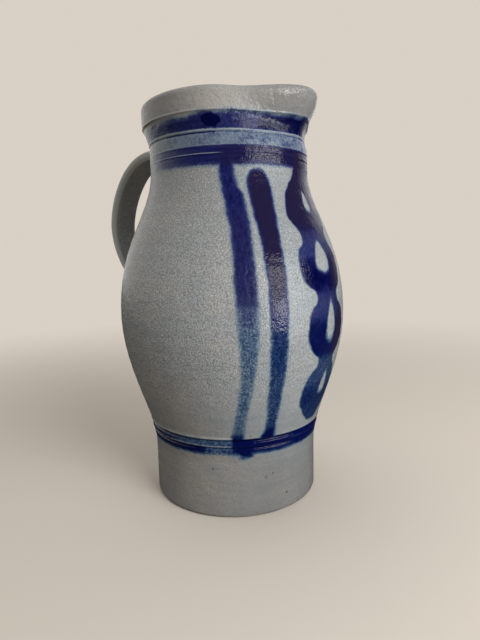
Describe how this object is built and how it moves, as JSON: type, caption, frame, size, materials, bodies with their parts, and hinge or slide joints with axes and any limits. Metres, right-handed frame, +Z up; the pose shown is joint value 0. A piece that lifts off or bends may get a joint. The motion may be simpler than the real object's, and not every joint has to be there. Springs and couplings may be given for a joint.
{
  "type": "stoneware jug",
  "caption": "Salt-glazed grey stoneware pouring jug with a rounded belly, straight foot, flared collar with a pulled lip, and a strap handle opposite the lip.",
  "frame": {"origin": "centre of the flat base, on the surface that the jug stands on", "axes": "+Z up through the mouth, +X towards the pouring lip, the handle towards -X"},
  "size_m": [0.1644, 0.1302, 0.2217],
  "materials": {
    "salt_glazed_stoneware": "grey salt glaze with a fine orange-peel skin and cobalt-blue bands, stripes and a chain",
    "salt_glazed_handle": "grey salt glaze with a thin cobalt wash at the upper joint",
    "salt_glazed_slip": "grey salt glaze over smoothed clay slip"
  },
  "bodies": {
    "root": {"thrown_vessel": "salt_glazed_stoneware", "strap_handle": "salt_glazed_handle", "upper_slip_pad": "salt_glazed_slip", "lower_slip_pad": "salt_glazed_slip"}
  },
  "joints": []
}
